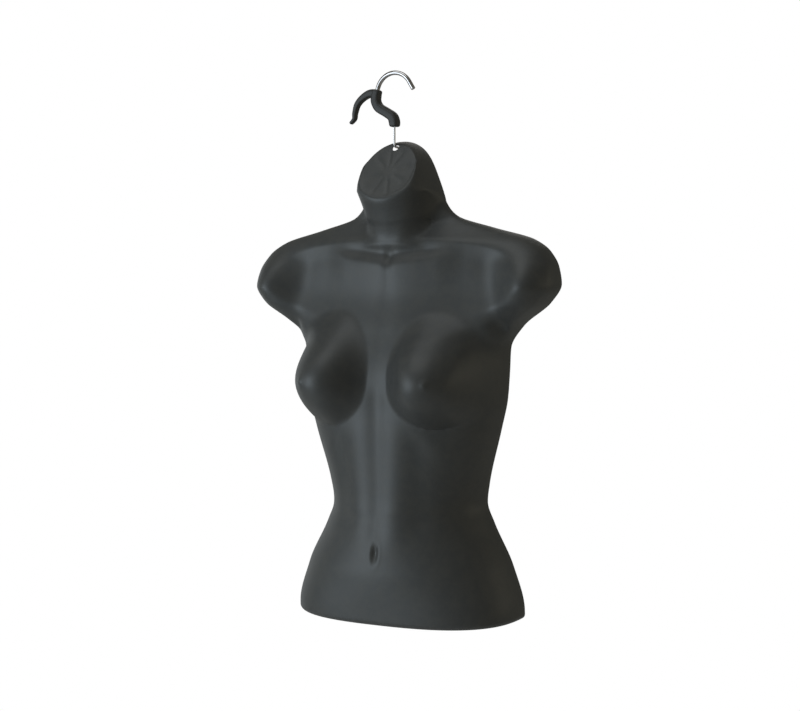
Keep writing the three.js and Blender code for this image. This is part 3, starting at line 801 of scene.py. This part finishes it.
# stem and spur joined, melted together and smoothed, with a socket for the rod and a room for
# the wire's head. The room and the bore below it are open to the back.
def buildHookBody():
    piece = flatBar("moulded_hook", hook["stem"], hook["stemThick"], hook["stemWide"],
                    hook["stemRings"], hook["stemRounding"])
    spur = flatBar("spur", hook["spur"], hook["spurThick"], hook["spurWide"],
                   hook["spurRings"], hook["spurRounding"])
    combine(piece, spur, "UNION")
    remesh = piece.modifiers.new("remesh", "REMESH")
    remesh.mode = "VOXEL"
    remesh.voxel_size = hook["voxel"] * mm
    smooth = piece.modifiers.new("smooth", "SMOOTH")
    smooth.factor = hook["smoothShare"]
    smooth.iterations = hook["smoothTimes"]
    applyModifiers(piece)
    path = rodPath()
    back = (path[0] - path[1]) / np.linalg.norm(path[0] - path[1])
    mouth = path[hook["tailSteps"]] - back * hook["socketPast"]
    combine(piece, cutter(path[0] + back * hook["gap"], mouth, hook["rodRadius"] + hook["gap"]),
            "DIFFERENCE")
    low = wire["top"] - wire["headHigh"] - hook["headBelow"]
    high = wire["top"] + hook["headAbove"]
    foot, roof = low - hook["openTo"], low + hook["overlap"]
    room = wire["headRadius"] + hook["headAround"]
    bore = wire["radius"] + hook["gap"]
    opening = room - hook["windowLess"]
    slot = wire["radius"] - hook["slotLess"]
    combine(piece, cutter((0, 0, low), (0, 0, high), room), "DIFFERENCE")
    combine(piece, boxCutter((-opening, 0, low), (opening, hook["openTo"], high)), "DIFFERENCE")
    combine(piece, cutter((0, 0, foot), (0, 0, roof), bore), "DIFFERENCE")
    combine(piece, boxCutter((-slot, 0, foot), (slot, hook["openTo"], roof)), "DIFFERENCE")
    closeMesh(piece, nearby)
    shadeSmooth(piece, hook["sharp"])
    piece.data.materials.clear()
    piece.data.materials.append(hookSkin)
    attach(piece, "hook")
    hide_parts("hook_body")
    return piece


# box for cutting, from its lowest to its highest corner
def boxCutter(low, high):
    x, y, z = np.meshgrid(*zip(low, high), indexing="ij")
    points = np.stack([x.ravel(), y.ravel(), z.ravel()], axis=-1)
    faces = [[0, 1, 3, 2], [4, 6, 7, 5], [0, 4, 5, 1], [2, 3, 7, 6], [0, 2, 6, 4], [1, 5, 7, 3]]
    tool = newPiece("cutter", points, faces, hookSkin)
    closeMesh(tool)
    return tool


# points from start to end, without the first
def stretch(start, end, count):
    return np.linspace(start, end, count)[1:]


# shank down from the head, a bend, a level stretch through the neck, a bend, and the drop
def wirePath():
    bend, level = wire["bend"], torso["pivot"][1]
    turn = np.linspace(0, math.pi / 2, wire["bendSteps"])
    top = (0, wire["top"] - 1)
    flatEnd = bend + wire["flat"]
    foot = (flatEnd + bend, level - bend - wire["drop"])
    first = np.stack([bend - bend * np.cos(turn), level + bend - bend * np.sin(turn)], axis=-1)
    second = np.stack([flatEnd + bend * np.sin(turn), level - bend + bend * np.cos(turn)], axis=-1)
    flat = np.concatenate([
        [top], stretch(top, first[0], wire["shankSteps"]), first[1:],
        stretch(first[-1], second[0], wire["levelSteps"]), second[1:],
        stretch(second[-1], foot, wire["dropSteps"])])
    return np.stack([0 * flat[:, 0], flat[:, 0], flat[:, 1]], axis=-1)


# profile turned about the upright axis, closed at the top and bottom
def turned(name, profile, sides, material):
    radius, z = np.array(profile, float).T
    angle = np.linspace(0, 2 * math.pi, sides + 1)
    rings = np.stack([radius[:, None] * np.cos(angle), radius[:, None] * np.sin(angle),
                      z[:, None] + 0 * angle], axis=-1)
    piece = newPiece(name, rings.reshape(-1, 3), gridFaces(len(profile), sides + 1).tolist(), material)
    closeMesh(piece, nearby)
    return piece


# steel wire along its path, with an upset head: a short drum with a rounded top
def buildWire():
    rounding = wire["rounding"]
    centres = crowdEnds(wirePath(), rounding, wire["roundingRings"])
    even = np.full(len(centres), wire["radius"])
    piece = sweep("swivel_link", centres, (1, 0, 0), even, even, 1, wire["sides"], rounding, wireSkin)
    radius, high, top = wire["headRadius"], wire["headHigh"], wire["top"]
    arc = np.linspace(0, math.pi / 2, wire["domeSteps"] + 1)
    curve, chamfer, foot = wire["headRounding"], wire["headChamfer"], top - high
    dome = [(radius - curve + curve * math.cos(t), top - curve + curve * math.sin(t)) for t in arc]
    profile = [(0, foot), (radius - chamfer, foot), (radius, foot + chamfer)] + dome + [(0, top)]
    combine(piece, turned("head", profile, wire["headSides"], wireSkin), "UNION")
    closeMesh(piece, nearby)
    shadeSmooth(piece, wire["sharp"])
    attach(piece, "link")
    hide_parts("swivel_wire")


buildRod()
hookBody = buildHookBody()
buildWire()
print("hook:", len(hookBody.data.polygons), "faces in its body")


studio = dict(
    floorDown=1.5, floorRadius=2.4, floorSides=96, speckCell=60, speck=(0.3, 0.7),
    floorDark=(0.80, 0.80, 0.80, 1), floorLight=(0.84, 0.84, 0.83, 1), floorRough=0.7,
    middle=(0, 0.02, -0.36),
    lights=[
        dict(name="key", azimuth=-35, up=0, away=2.8, size=1.9, power=43, colour=(0.79, 0.91, 1.0)),
        dict(name="left", azimuth=-112, up=0, away=2.6, size=2.2, power=7, colour=(0.88, 0.95, 1.0)),
        dict(name="top", azimuth=-20, up=68, away=2.6, size=2.0, power=18, colour=(0.93, 0.98, 1.0)),
        dict(name="right", azimuth=110, up=5, away=2.8, size=1.4, power=5, colour=(1.0, 0.93, 0.72)),
        dict(name="back", azimuth=200, up=30, away=2.8, size=1.6, power=6, colour=(1.0, 0.98, 0.95))],
    ambientColour=(1.0, 0.99, 0.86, 1),
    ambient=0.20)


# round floor far below the object, which only bounces light
def buildFloor():
    sides = studio["floorSides"]
    angle = np.linspace(0, 2 * math.pi, sides + 1)[:-1]
    points = studio["floorRadius"] / mm * np.stack([np.cos(angle), np.sin(angle), 0 * angle], axis=-1)
    points[:, 2] = -studio["floorDown"] / mm
    m = Recipe("floor")
    speck = m.noise(studio["speckCell"], 3).step(*studio["speck"])
    tone = m.mix(speck, studio["floorDark"], studio["floorLight"])
    skin = m.surface(Base_Color=tone, Roughness=studio["floorRough"])
    floor = newPiece("floor", points, [list(range(sides))], skin)


# round lamps about the middle: azimuth from the front, up from level, away in metres. A lamp
# stands at (sin a cos u, -cos a cos u, sin u) times away.
def buildLights():
    middle = Vector(studio["middle"])
    for lamp in studio["lights"]:
        data = bpy.data.lights.new(lamp["name"], "AREA")
        data.shape = "DISK"
        data.size = lamp["size"]
        data.energy = lamp["power"]
        data.color = lamp["colour"]
        around, up = math.radians(lamp["azimuth"]), math.radians(lamp["up"])
        toward = Vector((math.sin(around) * math.cos(up), -math.cos(around) * math.cos(up), math.sin(up)))
        light = bpy.data.objects.new(lamp["name"], data)
        light.location = middle + toward * lamp["away"]
        light.rotation_euler = toward.to_track_quat("Z", "Y").to_euler()
        bpy.context.scene.collection.objects.link(light)


# the camera sees a white room, and the object is lit by a dimmer one
def buildRoom():
    room = bpy.data.worlds.new("room")
    room.use_nodes = True
    tree = room.node_tree
    background = tree.nodes["Background"]
    path = tree.nodes.new("ShaderNodeLightPath")
    spread = tree.nodes.new("ShaderNodeMapRange")
    spread.inputs["To Min"].default_value = studio["ambient"]
    spread.inputs["To Max"].default_value = 1.0
    tree.links.new(path.outputs["Is Camera Ray"], spread.inputs["Value"])
    tree.links.new(spread.outputs[0], background.inputs["Strength"])
    tint = tree.nodes.new("ShaderNodeMix")
    tint.data_type = "RGBA"
    tint.inputs[6].default_value = studio["ambientColour"]
    tint.inputs[7].default_value = (1, 1, 1, 1)
    tree.links.new(path.outputs["Is Camera Ray"], tint.inputs[0])
    tree.links.new(tint.outputs[2], background.inputs["Color"])
    bpy.context.scene.world = room
    bpy.context.scene.view_settings.view_transform = "Standard"


buildFloor()
buildLights()
buildRoom()
print("studio lit")
